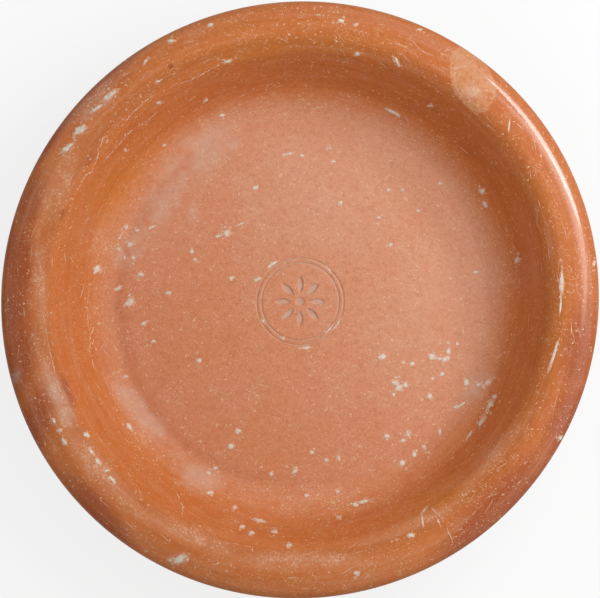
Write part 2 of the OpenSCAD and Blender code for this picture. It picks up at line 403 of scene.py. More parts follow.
def press_stamp(piece, sizes, top):
    """Presses the rosette into the middle of a piece that is otherwise level there."""
    points = vertex_places(piece)
    weight = rosette(points[:, 0], points[:, 1], sizes)
    near = (weight > LEAST_PRESS) & (np.abs(points[:, 2] - top) < STAMP_REACH)
    group = piece.vertex_groups.new(name="stamp")
    for index in np.flatnonzero(near):
        group.add([int(index)], float(weight[index]), "REPLACE")
    press = piece.modifiers.new("stamp", "DISPLACE")
    press.direction = "Z"
    press.mid_level = 0
    press.strength = -sizes.stamp_depth
    press.vertex_group = group.name
    bpy.context.view_layer.objects.active = piece
    bpy.ops.object.modifier_apply(modifier=press.name)
    piece.vertex_groups.clear()


def rosette(x, y, sizes):
    """How deep the stamp goes at a place: 0 beside its figures, 1 in the middle of them."""
    length, width = sizes.petal_length / MM, sizes.petal_width / MM
    side = (length**2 + width**2) / (4 * width)
    inside = sizes.dot_diameter / MM / 2 - np.hypot(x, y)
    for i in range(PETALS):
        turn = 2 * pi * i / PETALS
        u = x * cos(turn) + y * sin(turn) - sizes.petal_distance / MM
        v = y * cos(turn) - x * sin(turn)
        across = side - np.maximum(np.hypot(u, v - side + width / 2), np.hypot(u, v + side - width / 2))
        inside = np.maximum(inside, across)
    return smooth(inside, *RECESS)


def smooth(value, low, high):
    share = np.clip((value - low) / (high - low), 0, 1)
    return share * share * (3 - 2 * share)


def vertex_places(piece):
    """The places of a piece's vertices, in millimetres."""
    places = np.zeros(len(piece.data.vertices) * 3)
    piece.data.vertices.foreach_get("co", places)
    return places.reshape(-1, 3) / MM


def make_oval(piece, sizes):
    """Gives a turned piece the slight oval that the bowl got when it was lifted off the wheel."""
    start_fresh(piece)
    long, short = (1 + sizes.oval) * OVAL_FIT, (1 - sizes.oval) * OVAL_FIT
    for turn, scale in ((-OVAL_TURN, (long, short, 1)), (OVAL_TURN, (1, 1, 1))):
        piece.rotation_euler = (0, 0, turn)
        bpy.ops.object.transform_apply(location=True, rotation=True, scale=True)
        piece.scale = scale
        bpy.ops.object.transform_apply(location=True, rotation=True, scale=True)


def smooth_shade(piece):
    start_fresh(piece)
    bpy.ops.object.shade_smooth_by_angle(angle=SMOOTH_ANGLE)


def paint(piece, name, values):
    """Keeps one number for each vertex, for a material to read."""
    layer = piece.data.attributes.new(name, "FLOAT", "POINT")
    layer.data.foreach_set("value", np.asarray(values, np.float32))


def grid_place(column, row):
    """The place in millimetres from the middle, +Y up."""
    return (column - GRID_MIDDLE[0]) * GRID_STEP, (GRID_MIDDLE[1] - row) * GRID_STEP


def patch_field(points, patches, fade):
    """1 inside the patches, falling to 0 over a share fade of their size."""
    field = np.zeros(len(points))
    for column, row, length, width, angle in patches:
        x, y = grid_place(column, row)
        turn = radians(angle)
        dx, dy = points[:, 0] - x, points[:, 1] - y
        u = (dx * cos(turn) + dy * sin(turn)) / (length * GRID_STEP / 2)
        v = (dy * cos(turn) - dx * sin(turn)) / (width * GRID_STEP / 2)
        field = np.maximum(field, 1 - smooth(np.hypot(u, v), 1 - fade, 1 + fade))
    return field


class Surface:
    """The slipped face from the middle to the lip's edge, for placing things on it."""

    def __init__(self, line, sizes):
        self.line = line
        self.far = lengths(line)
        step = np.gradient(line, axis=0)
        step /= np.linalg.norm(step, axis=1)[:, None]
        self.normal = np.column_stack([-step[:, 1], step[:, 0]])
        self.slope = step[:, 0]
        self.strain = np.array([[1, sizes.oval], [sizes.oval, 1]]) * OVAL_FIT

    def reach(self, x, y):
        """Distance along the section, turn round the axis and levelness at a place seen from above."""
        x, y = np.linalg.solve(self.strain, np.array([x, y]))
        radius = min(np.hypot(x, y), self.line[-1, 0] - 0.05)
        at = np.interp(radius, self.line[:, 0], self.far)
        return at, atan2(y, x), np.interp(at, self.far, self.slope)

    def place(self, far, turn, height):
        """Points in millimetres at distances, turns and heights off the surface."""
        radius = np.interp(far, self.far, self.line[:, 0])
        z = np.interp(far, self.far, self.line[:, 1])
        out = np.interp(far, self.far, self.normal[:, 0])
        up = np.interp(far, self.far, self.normal[:, 1])
        radius = radius + out * height
        flat = np.column_stack([radius * np.cos(turn), radius * np.sin(turn)]) @ self.strain.T
        return np.column_stack([flat, z + up * height])


# Wire and Recipe write shader maths as Python expressions


def joined(operation, swapped=False):
    """A method that joins a wire and another value in a Math node."""
    if swapped:
        return lambda wire, other: wire._math(operation, other, wire)
    return lambda wire, other: wire._math(operation, wire, other)


class Wire:
    """A value in a material, with arithmetic that adds Math nodes."""

    def __init__(self, recipe, socket):
        self.recipe = recipe
        self.socket = socket

    def _math(self, operation, *values):
        return self.recipe.node("Math", dict(enumerate(values)), operation=operation)

    __add__, __radd__ = joined("ADD"), joined("ADD", swapped=True)
    __sub__, __rsub__ = joined("SUBTRACT"), joined("SUBTRACT", swapped=True)
    __mul__, __rmul__ = joined("MULTIPLY"), joined("MULTIPLY", swapped=True)

    def root(self):
        return self._math("SQRT", self)

    def size(self):
        return self._math("ABSOLUTE", self)

    def at_least(self, other):
        return self._math("MAXIMUM", self, other)

    def step(self, low, high):
        """0 below low, 1 above high and a smooth rise between them; high may be the lower one."""
        values = {"Value": self, "From Min": low, "From Max": high}
        return self.recipe.node("MapRange", values, interpolation_type="SMOOTHSTEP")

    def band(self, middle, width):
        """1 at middle, falling smoothly to 0 at width away from it."""
        return (self - middle).size().step(width, 0)


class Recipe:
    """A material, or the world's light, that is put together node by node."""

    def __init__(self, name, world=None):
        self.material = world or bpy.data.materials.new(name)
        self.material.use_nodes = True
        self.tree = self.material.node_tree
        self.tree.nodes.clear()

    def node(self, kind, sockets=None, out=0, **settings):
        """Adds a node. Its settings are set first, then its sockets get values or wires."""
        made = self.tree.nodes.new("ShaderNode" + kind)
        for name, value in settings.items():
            setattr(made, name, value)
        for key, value in (sockets or {}).items():
            if isinstance(value, Wire):
                self.tree.links.new(value.socket, made.inputs[key])
            else:
                made.inputs[key].default_value = value
        return Wire(self, made.outputs[out]) if made.outputs else None

    def mix(self, factor, a, b):
        """Colour a, turning into colour b as factor rises."""
        a, b = [v if isinstance(v, Wire) else (*v[:3], 1) for v in (a, b)]
        return self.node("Mix", {0: factor, 6: a, 7: b}, 2, data_type="RGBA", clamp_factor=True)

    def coats(self, colour, *coats):
        """The colour with coats laid over it in turn, each given as how strong it is and its colour."""
        for factor, coat in coats:
            colour = self.mix(factor, colour, coat)
        return colour

    def place(self, turn=0.0, stretch=(1, 1, 1), shift=(0, 0, 0)):
        """Object coordinates in millimetres, turned about Z, each divided by its stretch."""
        at = self.node("TexCoord", out="Object")
        turned_at = self.node("Mapping", {"Vector": at, "Rotation": (0, 0, turn)})
        per_mm = tuple(1 / MM / s for s in stretch)
        scaled = self.node("VectorMath", {0: turned_at, 1: per_mm}, operation="MULTIPLY")
        return self.node("VectorMath", {0: scaled, 1: shift}, operation="ADD")

    def split(self, vector):
        return [self.node("SeparateXYZ", {0: vector}, out=i) for i in range(3)]

    def noise(self, grain, detail=2, rough=0.5, warp=0.0, at=None, shift=(0, 0, 0)):
        """Noise with features about grain millimetres wide."""
        sockets = {
            "Vector": at or self.place(shift=shift),
            "Scale": 1 / grain,
            "Detail": detail,
            "Roughness": rough,
            "Distortion": warp,
        }
        return self.node("TexNoise", sockets)

    def streaks(self, turn, width, length, low, high, shift=(0, 0, 0)):
        """Thin straight marks that run along one direction."""
        at = self.place(radians(turn), (length, width, width), shift)
        return self.noise(1, 1, 0.4, 0.2, at).step(low, high)

    def field(self, name):
        """A number that is kept for each vertex."""
        return self.node("Attribute", out="Fac", attribute_name=name)

    def bump(self, height, strength, distance):
        values = {"Height": height, "Strength": strength, "Distance": distance * MM}
        return self.node("Bump", values)

    def glaze(self, colour, roughness, normal, **plain):
        values = {"Base Color": colour, "Roughness": roughness, "Normal": normal, **plain}
        return self.node("BsdfPrincipled", values)

    def finish(self, shader):
        self.node("OutputMaterial", {"Surface": shader})
        return self.material


# Radii in millimetres between which the looks of the slip change
FLOOR_FADE = (71, 58)
CREST_FADE = (78, 85)
GLOSS_FADE_IN = (88.5, 91)
GLOSS_FADE_OUT = (93.4, 92.6)
GROOVE_SILT = 0.45  # millimetres to each side of a ring groove
# Between these places, in millimetres along a slanting line, the lip grows redder and the floor gets a
# pale painted sheen on its side towards the lamps
RIGHT_SIDE = (20, 110)
SHEEN_SIDE = (-60, 60)


def worn_slip(finish, section):
    """Orange-red slip, rubbed, scratched and dusted with lime, with a painted sheen on one side of the
    floor and painted shade inside the crest.
    """
    r = Recipe("worn_slip")
    x, y, _ = r.split(r.place())
    radius = (x * x + y * y).root()
    clouds = r.noise(26, 2, 0.5, 0.6)
    blotches = r.noise(7, 3, 0.55, 0.8, shift=(40, 7, 3))
    mottle = r.noise(1.6, 3, 0.6)
    grain = r.noise(0.45, 2, 0.6)
    round_about = r.node("CombineXYZ", {0: radius * 0.7, 1: x * 0.03, 2: y * 0.03})
    wheel = r.noise(1, 2, 0.6, 0.3, round_about)

    floor = radius.step(*FLOOR_FADE)
    right = (x * 1.3 + y * 0.4).step(*RIGHT_SIDE)
    sheen_side = (x + y).step(*SHEEN_SIDE)
    touch = r.field("finger") + (blotches - 0.5) * 0.35
    thin = blotches * 0.3 + mottle.step(0.3, 0.65) * 0.35 + 0.12
    stipple = r.noise(0.7, 3, 0.75, 0.3, shift=(9, 5, 1))
    rubbed = r.field("rubbed") * (0.5 + blotches)
    rubbed_spots = (stipple + rubbed * (0.13 - floor * 0.05) + blotches * 0.15).step(0.72, 0.84)
    scratches = r.streaks(20, 0.25, 7, 0.66, 0.74)
    for turn, shift in ((75, 3), (128, 11), (160, 23), (48, 31)):
        scratches = scratches.at_least(r.streaks(turn, 0.22, 6, 0.67, 0.75, (shift, shift, 0)))
    scratches = scratches * blotches.step(0.35, 0.6)
    dust = r.noise(0.9, 1, 0.5, 0.4, shift=(3, 31, 5))
    specks = (dust + blotches * 0.14 + clouds * 0.06).step(0.77, 0.83)
    grooves = [radius.band(ring, GROOVE_SILT) for ring in (section.ring_in, section.ring_out)]
    hollows = r.field("stamp").at_least(grooves[0].at_least(grooves[1]) * 0.75)

    colour = r.coats(
        finish.slip,
        (clouds.step(0.3, 0.7) * 0.5, finish.slip_deep),
        (blotches.step(0.35, 0.7) * 0.3, finish.slip_yellow),
        (r.field("yellower") * 0.7, finish.slip_yellow),
        (radius.step(*CREST_FADE) * (0.08 + right * 0.24), finish.slip_red),
        (r.field("redder") * (0.6 + blotches * 0.6), finish.slip_red),
        (floor * (0.55 + clouds * 0.6 + (blotches - 0.5) * 0.4), finish.slip_floor),
        # painted sheen: the floor is paled with a whitish pink on its side towards the lamps
        (floor * sheen_side * (clouds * 0.3 + mottle * 0.3), finish.painted_floor_sheen),
        (mottle.step(0.3, 0.75) * (0.12 + floor * 0.2), finish.slip_worn),
        # painted shade: a darker band on the inside of the crest, where it curves down into the bowl
        (radius.band(section.crest_r - 3, 4) * 0.45, finish.dark_slip_and_shade),
        (grain.step(0.6, 0.25) * 0.3, finish.dark_slip_and_shade),
        (mottle.step(0.55, 0.3) * 0.18, finish.dark_slip_and_shade),
        (wheel.step(0.5, 0.75) * (0.3 - floor * 0.22), finish.slip_worn),
        (wheel.step(0.48, 0.28) * (0.22 - floor * 0.16), finish.dark_slip_and_shade),
        (touch.step(0.36, 0.56) * thin, finish.touch),
        (touch.band(0.47, 0.09) * grain.step(0.4, 0.6) * 0.3, finish.rubbed),
        (rubbed * (0.4 - floor * 0.25), finish.slip_worn),
        (rubbed_spots * (0.6 - floor * 0.1), finish.rubbed),
        (scratches * 0.55, finish.rubbed),
        (specks * 0.75, finish.rubbed),
        (hollows * (mottle * 1.6 - 0.15), finish.silt),
        (r.field("film") * blotches.step(0.25, 0.6) * 0.38, finish.film),
    )
    roughness = 0.42 + floor * 0.1 + mottle * 0.1 + rubbed_spots * 0.15 + specks * 0.2 + rubbed * 0.08
    height = grain * 0.3 + mottle * 0.5 + specks * 0.4 - scratches * 0.4 - rubbed_spots * 0.3
    edge = radius.step(*GLOSS_FADE_IN) * radius.step(*GLOSS_FADE_OUT) * (0.2 + right * 0.8)
    gloss = {"Coat Weight": edge, "Coat Roughness": 0.09, "Specular IOR Level": 0.12}
    return r.finish(r.glaze(colour, roughness, r.bump(height, 0.35, 0.12), **gloss))


def plain_slip(finish):
    """The slip below the lip, less worn."""
    r = Recipe("plain_slip")
    clouds = r.noise(30, 2, 0.5, 0.6)
    blotches = r.noise(8, 3, 0.55, 0.8, shift=(40, 7, 3))
    mottle = r.noise(1.6, 3, 0.6)
    grain = r.noise(0.45, 2, 0.6)
    specks = r.noise(0.9, 1, 0.5, 0.4, shift=(3, 31, 5)).step(0.72, 0.76)
    rubbed = r.noise(0.6, 2, 0.7, shift=(9, 5, 1)) + blotches * 0.3
    turning = r.noise(1, 2, 0.5, at=r.place(stretch=(60, 60, 1.1)))
    colour = r.coats(
        finish.slip_deep,
        (0.35 + clouds * 0.5, finish.slip_red),
        (blotches.step(0.4, 0.75) * 0.5, finish.slip),
        (mottle.step(0.3, 0.75) * 0.2, finish.slip_worn),
        (specks * 0.75, finish.rubbed),
        (rubbed.step(0.83, 0.9) * 0.6, finish.rubbed),
    )
    roughness = 0.42 + mottle * 0.12 + specks * 0.2
    height = grain * 0.3 + mottle * 0.4 + turning * 0.8 + specks * 0.4
    return r.finish(r.glaze(colour, roughness, r.bump(height, 0.35, 0.14)))


def bare_clay(finish):
    """Fired clay without slip."""
    r = Recipe("bare_clay")
    blotches = r.noise(6, 3, 0.55, 0.6)
    grain = r.noise(0.5, 3, 0.65)
    grit = r.noise(0.9, 1, 0.5, shift=(5, 5, 5)).step(0.7, 0.74)
    colour = r.coats(
        finish.clay,
        (blotches.step(0.3, 0.7), finish.clay_pale),
        (grain.step(0.65, 0.35) * 0.3, finish.slip_worn),
        (grit * 0.6, finish.silt),
    )
    return r.finish(r.glaze(colour, 0.75 + grain * 0.15, r.bump(grain + grit * 0.5, 0.5, 0.15)))


def lime(finish):
    """Chalky crust, thin enough at its border to let the slip show."""
    r = Recipe("lime")
    blotches = r.noise(1.3, 3, 0.6, 0.5)
    grain = r.noise(0.35, 2, 0.65)
    thin = (r.field("border") + (blotches - 0.5) * 0.9 + (grain - 0.5) * 0.5).step(0.55, 0.95)
    colour = r.coats(finish.lime, (blotches.step(0.35, 0.7), finish.film), (thin * 0.9, finish.slip_worn))
    return r.finish(r.glaze(colour, 0.72 + grain * 0.15, r.bump(grain + blotches, 0.5, 0.12)))


def dress(piece, material, slot, *nodes):
    """Gives a finished piece its material and its place in the frame."""
    piece.data.materials.clear()
    piece.data.materials.append(material)
    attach(piece, "root")
    if nodes:
        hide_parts(*nodes)


def length_size(name, mm, text):
    return FloatProperty(name=name, description=text, default=mm * MM, min=0, precision=4, unit="LENGTH")


def angle_size(name, degrees, text):
    return FloatProperty(name=name, description=text, default=radians(degrees), subtype="ANGLE")


def colour_of(name, value, text):
    return FloatVectorProperty(name=name, description=text, default=value, min=0, max=1, subtype="COLOR")


class BowlSizes(bpy.types.PropertyGroup):
    """Sizes of the bowl, over the slip or under it as the solid model has them."""

    diameter: length_size("Diameter", (CAD_BOX[1][0] - CAD_BOX[0][0]) / MM, "Across the lip's edge")
    height: length_size("Height", (CAD_BOX[1][2] - CAD_BOX[0][2]) / MM, "From the table to the crest")
    oval: FloatProperty(
        name="Oval", description="Share that one diagonal gains and the other loses", default=0.0062
    )
    lip_width: length_size("Lip width", 10.5, "From the crest to the edge")
    lip_radius: length_size("Lip radius", 15, "Where the lip's top curves over")
    lip_slope: angle_size("Lip slope", 26, "Fall of the lip's top outside that curve")
    lip_thickness: length_size("Lip thickness", 4.8, "Between the lip's top and underside")
    lip_edge_radius: length_size("Lip edge radius", 4, "Round edge above the widest circle")
    neck_radius: length_size("Neck radius", 3.4, "Hollow where the lip leaves the wall")
    crest_inner_radius: length_size("Crest radius", 7, "From the crest down into the bowl")
    wall_width: length_size("Wall width", 25, "From the floor's corner to the crest")
    wall_thickness: length_size("Wall thickness", 5.2, "Above the sweep")
    wall_taper: angle_size("Wall taper", 1.5, "Angle between the wall's faces")
    sweep_radius: length_size("Sweep radius", 15, "Inside curve from floor to wall")
    sweep_start: angle_size("Sweep start", 6, "Slope where the sweep leaves the floor")
    belly_radius: length_size("Belly radius", 21, "Outside curve from base to wall")
    base_slope: angle_size("Base slope", 9, "Slope of the underside outside the foot ring")
    floor_thickness: length_size("Floor thickness", 6.4, "At the corner, above the foot ring")
    floor_edge_rise: length_size("Floor edge rise", 0.9, "Of the floor's rounded edge")
    floor_edge_width: length_size("Floor edge width", 6.2, "Of the floor's rounded edge")
    floor_rise: length_size("Floor rise", 1.4, "From the rounded edge to the stamp")
    ring_diameter: length_size("Ring diameter", 28, "Outer ring groove")
    ring_distance: length_size("Ring distance", 1.5, "Between the two ring grooves")
    ring_width: length_size("Ring width", 1, "Width of a ring groove")
    ring_depth: length_size("Ring depth", 0.3, "Depth of a ring groove")
    petal_length: length_size("Petal length", 5.6, "Petals of the stamped rosette")
    petal_width: length_size("Petal width", 2.3, "Petals of the stamped rosette")
    petal_distance: length_size("Petal distance", 5.6, "From the middle of the rosette")
    dot_diameter: length_size("Dot diameter", 3, "Dot in the middle of the rosette")
    stamp_depth: length_size("Stamp depth", 0.5, "Depth of the rosette")
    foot_diameter: length_size("Foot diameter", 98, "Lower edge of the foot ring")
    foot_height: length_size("Foot height", 6.6, "Height of the foot ring")
    foot_width: length_size("Foot width", 4.6, "Width of the lower edge")
    foot_flare: length_size("Foot flare", 1, "Outward lean of the outer face")
    foot_spread: length_size("Foot spread", 2.4, "Inward spread of the inner face")
    foot_edge_radius: length_size("Foot edge radius", 0.8, "Lower edges of the foot ring")
    base_rise: length_size("Base rise", 1.6, "Inside the foot ring")
    base_flat_diameter: length_size("Base flat diameter", 16, "Flat in the middle of the base")
    slip_thickness: length_size("Slip thickness", 0.3, "Of the slip coat")
    bare_height: length_size("Bare height", 1.4, "Bare clay at the foot ring's edge")
    crust_thickness: length_size("Crust thickness", 0.16, "Height of a lime crust")


class BowlFinish(bpy.types.PropertyGroup):
    """Colours of the slip, the clay and what lies on them."""

    slip: colour_of("Slip", (0.58, 0.170, 0.044), "Orange-red slip")
    slip_deep: colour_of("Deep slip", (0.53, 0.148, 0.038), "Where the slip is thicker")
    slip_red: colour_of("Red slip", (0.33, 0.066, 0.020), "Redder slip, as on the lip")
    slip_yellow: colour_of("Yellow slip", (0.59, 0.19, 0.030), "Where the slip was fired yellower")
    slip_floor: colour_of("Floor slip", (0.60, 0.235, 0.125), "Slip dulled by use, on the floor")
    # painted sheen, laid over the floor on its side towards the lamps
    painted_floor_sheen: colour_of("Painted sheen on the floor", (0.76, 0.46, 0.34), "Laid on the floor's side towards the lamps")
    slip_worn: colour_of("Worn slip", (0.60, 0.260, 0.140), "Thin, rubbed slip")
    # used for pores and low grain, and as painted shade inside the crest
    dark_slip_and_shade: colour_of("Dark slip", (0.33, 0.085, 0.015), "Pores, low grain and painted shade inside the crest")
    rubbed: colour_of("Rubbed slip", (0.70, 0.430, 0.280), "Where rubbing has reached the clay")
    touch: colour_of("Finger mark", (0.60, 0.300, 0.150), "Thin slip where a fingertip held the bowl")
    silt: colour_of("Silt", (0.52, 0.36, 0.28), "Fine deposit in hollows")
    film: colour_of("Lime film", (0.60, 0.44, 0.35), "Thin grey lime")
    lime: colour_of("Lime", (0.66, 0.62, 0.50), "Thick lime")
    clay: colour_of("Clay", (0.58, 0.27, 0.15), "Fired clay")
    clay_pale: colour_of("Pale clay", (0.66, 0.36, 0.22), "Lighter clay")


def bowl_sizes():
    return bpy.context.scene.bowl_sizes


def bowl_finish():
    return bpy.context.scene.bowl_finish


def bowl_section():
    """The section, with the lines that several pieces share."""
    section = Section(bowl_sizes())
    fine = section.grooved(section.inside)
    section.slip_face = section.grooved(beside(section.inside, section.slip))
    section.clay_inside = spaced(fine, clay_spacing)
    section.clay_outside = spaced(section.outside, clay_spacing)
    section.clay_base = spaced(section.base, clay_spacing)
    section.crest_r = float(section.inside[np.argmax(section.inside[:, 1]), 0])
    return section


# Rings lie closer at the rosette, the ring grooves, the foot ring's corners, the lip and the crest


def clay_spacing(radius, height):
    """Distance between rings on the clay, under the slip."""
    if radius < STAMP_R:
        return 0.55
    if 11 < radius < 15.4:
        return 0.25
    if 38 < radius < 54 and height < 9:
        return 0.5
    return 3 if radius < 54 or (height > 20 and radius < 75) else 1.2


def face_spacing(radius, height):
    """Distance between rings on the slip's face."""
    if radius < STAMP_R:
        return 0.3
    if 11 < radius < 15.2:
        return 0.16
    if radius < 54:
        return 1.0
    return 0.8 if height < 38 and radius < 80 else 0.45


def outer_spacing(radius, height):
    """Distance between rings on the slip below the lip's edge."""
    return 0.45 if height > 34 else 0.9


# From the foot ring's corner to the joint of the floor's and the wall's clay, in millimetres
BELLY_JOINT = (13, 2)


class BOWL_OT_clay(bpy.types.Operator):
    """Turns the clay of the floor, the wall, the rim and the foot ring"""

    bl_idname = "bowl.clay"
    bl_label = "Clay"

    def execute(self, context):
        section = bowl_section()
        inner, outer, base = section.clay_inside, section.clay_outside, section.clay_base
        floor_end = section.nearest(inner, section.corner)
        wall_end = section.nearest(inner, section.rim_joint)
        neck = section.nearest(outer, section.neck_end)
        foot = section.nearest(outer, section.foot_corner)
        belly = section.nearest(outer, section.foot_corner + BELLY_JOINT)
        foot_in = section.nearest(base, section.base_corner)
        parts = {
            "floor": (inner[: floor_end + 1], outer[belly : foot + 1], base[foot_in:]),
            "wall": (inner[floor_end : wall_end + 1], outer[neck : belly + 1]),
            "rim": (inner[wall_end:], outer[1 : neck + 1]),
            "foot_ring": (outer[foot:], section.foot_edge[1:-1], base[: foot_in + 1]),
        }
        material = bare_clay(bowl_finish())
        for node, lines in parts.items():
            piece = turned(f"{node}_clay", np.vstack(lines), node != "floor")
            if node == "floor":
                press_stamp(piece, bowl_sizes(), section.stamp_z)
            make_oval(piece, bowl_sizes())
            smooth_shade(piece)
            dress(piece, material, "clay", node)
        return {"FINISHED"}


class BOWL_OT_inside_slip(bpy.types.Operator):
    """Lays the slip over the floor, the wall, the crest and the lip"""

    bl_idname = "bowl.inside_slip"
    bl_label = "Slip, inside and lip"

    def execute(self, context):
        sizes, section = bowl_sizes(), bowl_section()
        face = spaced(section.slip_face, face_spacing)
        line = np.vstack([face, section.clay_inside[::-1]])
        line[[0, -1], 0] = 0
        piece = turned("inside_slip", line, False)
        press_stamp(piece, sizes, section.stamp_z + section.slip / 2)
        make_oval(piece, sizes)
        smooth_shade(piece)
        points = vertex_places(piece)
        paint(piece, "stamp", rosette(points[:, 0], points[:, 1], sizes))
        paint(piece, "rubbed", patch_field(points, RUBBED, 0.7))
        paint(piece, "redder", patch_field(points, REDDER, 0.6))
        paint(piece, "yellower", patch_field(points, YELLOWER, 0.8))
        paint(piece, "film", patch_field(points, GREY_FILMS, 0.6))
        paint(piece, "finger", patch_field(points, FINGER_MARKS, 0.9))
        dress(piece, worn_slip(bowl_finish(), section), "slip_worn", "slip_inside")
        return {"FINISHED"}


class BOWL_OT_outside_slip(bpy.types.Operator):
    """Lays the slip from the lip's edge to the foot ring, and inside the foot ring"""

    bl_idname = "bowl.outside_slip"
    bl_label = "Slip, outside and base"

    def execute(self, context):
        sizes, section = bowl_sizes(), bowl_section()
        material = plain_slip(bowl_finish())
        faces = {
            "outside_slip": ("slip_outside", section.outside, section.clay_outside, True),
            "base_slip": ("slip_base", section.base, section.clay_base, False),
        }
        for name, (node, fine, clay, closed) in faces.items():
            face = spaced(beside(fine, section.slip), outer_spacing)
            line = np.vstack([face, clay[::-1]])
            if not closed:
                line = np.roll(line, -len(face), axis=0)
                line[[0, -1], 0] = 0
            piece = turned(name, line, closed)
            make_oval(piece, sizes)
            smooth_shade(piece)
            dress(piece, material, "slip", node)
        return {"FINISHED"}


CRUMBS, CRUMBS_PER_AREA = 4, 1.5  # small flakes round a crust, and more for each square millimetre
FLAKE_STEP = 0.6  # millimetres along a scratch
SCRATCH_WANDER = 0.07
HAIRLINES = 190
HAIRLINE_RADII = (58, 92.5, 87)  # least, greatest and most common
LOOSE_FLAKES = 800
LOOSE_REACH = 93
CREST_GAP, CREST_GAP_SHARE = 0.9, 0.3  # kept free beside the crest's top, and more for a wide flake
FLAKE_HEIGHT_SHARE = 0.12  # of its width
TOP_GAP = 0.002


def lime_flakes():
    """Place, length, width, direction and thinness of every flake, in millimetres and degrees."""
    dice = random.Random(4)
    for column, row, length, width, angle in LIME_CRUSTS:
        x, y = grid_place(column, row)
        length, width, turn = length * GRID_STEP, width * GRID_STEP, radians(angle)
        yield x, y, 1.15 * length, 1.05 * width, angle, dice.uniform(-0.05, 0.1)
        for _ in range(CRUMBS + round(CRUMBS_PER_AREA * length * width)):
            u, v = dice.gauss(0, 0.35) * length, dice.gauss(0, 0.5) * width
            size = dice.uniform(0.3, 0.5 + 0.5 * width)
            place = x + u * cos(turn) - v * sin(turn), y + u * sin(turn) + v * cos(turn)
            narrow = size * dice.uniform(0.4, 0.9)
            yield *place, size, narrow, angle + dice.gauss(0, 35), dice.uniform(0.1, 0.7)
    for width, *places in SCRATCHES:
        for start, end in zip(places, places[1:]):
            (x, y), (end_x, end_y) = grid_place(*start), grid_place(*end)
            far = np.hypot(end_x - x, end_y - y)
            angle = np.degrees(atan2(end_y - y, end_x - x))
            for i in range(ceil(far / FLAKE_STEP)):
                share = (i + dice.random()) * FLAKE_STEP / far
                aside, off = dice.gauss(0, SCRATCH_WANDER), dice.gauss(0, SCRATCH_WANDER)
                place = x + (end_x - x) * share + aside, y + (end_y - y) * share + off
                thick = width * GRID_STEP * dice.uniform(0.3, 0.9)
                if dice.random() < 0.8:
                    long = dice.uniform(0.6, 1.7)
                    yield *place, long, thick, angle + dice.gauss(0, 7), dice.uniform(0, 0.6)
    for _ in range(HAIRLINES):
        far, turn = dice.triangular(*HAIRLINE_RADII), dice.uniform(0, 2 * pi)
        angle, place = np.degrees(turn) + 90 + dice.gauss(0, 16), (far * cos(turn), far * sin(turn))
        yield *place, dice.uniform(1.2, 6.5), dice.uniform(0.1, 0.2), angle, dice.uniform(0.1, 0.7)
    for _ in range(LOOSE_FLAKES):
        far, turn = LOOSE_REACH * dice.random() ** 0.6, dice.uniform(0, 2 * pi)
        size = 0.22 + 0.5 * dice.random() ** 2.5
        place = far * cos(turn), far * sin(turn)
        yield *place, size, size * dice.uniform(0.4, 0.9), dice.uniform(0, 180), dice.uniform(0.2, 0.8)


class BOWL_OT_lime(bpy.types.Operator):
    """Puts flakes of lime where the crusts are, along scratches, in hairlines and over the inside"""

    bl_idname = "bowl.lime"
    bl_label = "Lime flakes"

    def execute(self, context):
        sizes, section = bowl_sizes(), bowl_section()
        surface = Surface(section.slip_face, sizes)
        start_fresh()
        bpy.ops.mesh.primitive_ico_sphere_add(subdivisions=1, radius=1)
        patterns = [bpy.context.object]
        bpy.ops.mesh.primitive_uv_sphere_add(segments=12, ring_count=4, radius=1)
        patterns.append(bpy.context.object)
        bpy.ops.mesh.primitive_ico_sphere_add(subdivisions=2, radius=1)
        patterns.append(bpy.context.object)
        flakes = []
        for shape in lime_flakes():
            x, y, length, width = shape[:4]
            if abs(np.hypot(x, y) - section.crest_r) < CREST_GAP + CREST_GAP_SHARE * width:
                continue
            fineness = (length > 0.8) + (length > 0.8 and width > 0.7)
            flakes.append(self.flake(patterns[fineness], surface, sizes, *shape))
        for pattern in patterns:
            bpy.data.objects.remove(pattern)
        for flake in flakes:
            flake.select_set(True)
        bpy.context.view_layer.objects.active = flakes[0]
        bpy.ops.object.join()
        piece = bpy.context.object
        piece.name = piece.data.name = "lime_crusts"
        smooth_shade(piece)
        dress(piece, lime(bowl_finish()), "slip_worn")
        return {"FINISHED"}

    @staticmethod
    def flake(pattern, surface, sizes, x, y, length, width, angle, thinness):
        """One flat, ragged lump, bent onto the surface."""
        flake = pattern.copy()
        flake.data = pattern.data.copy()
        bpy.context.collection.objects.link(flake)
        flake.select_set(False)
        ball = vertex_places(pattern) * MM
        far, turn, level = surface.reach(x, y)
        direction = radians(angle) - turn
        ragged = np.array([noise.noise(Vector((2.5 * p[0] + x, 2.5 * p[1] + y, 0))) for p in ball])
        lumpy = np.array([noise.noise(Vector((3 * p[0] + y, 3 * p[1] + x, 5))) for p in ball])
        u = ball[:, 0] * length / 2 * (1 + 0.7 * ragged)
        v = ball[:, 1] * width / 2 * (1 + ragged)
        outward = (u * cos(direction) - v * sin(direction)) / max(level, 0.5)
        round_about = u * sin(direction) + v * cos(direction)
        radius = np.interp(far, surface.far, surface.line[:, 0])
        height = min(sizes.crust_thickness / MM, FLAKE_HEIGHT_SHARE * width)
        up = np.where(ball[:, 2] > 0, ball[:, 2] * height * (1 + 0.7 * lumpy), ball[:, 2] * 0.1)
        limit = surface.far[-1] - 0.1
        points = surface.place(np.clip(far + outward, 0.5, limit), turn + round_about / radius, up)
        points[:, 2] = np.minimum(points[:, 2], CAD_BOX[1][2] / MM - TOP_GAP)
        flake.data.vertices.foreach_set("co", (points * MM).ravel())
        paint(flake, "border", np.hypot(ball[:, 0], ball[:, 1]) + thinness)
        return flake


FLOOR_SIZE = 6
FILL = 0.53
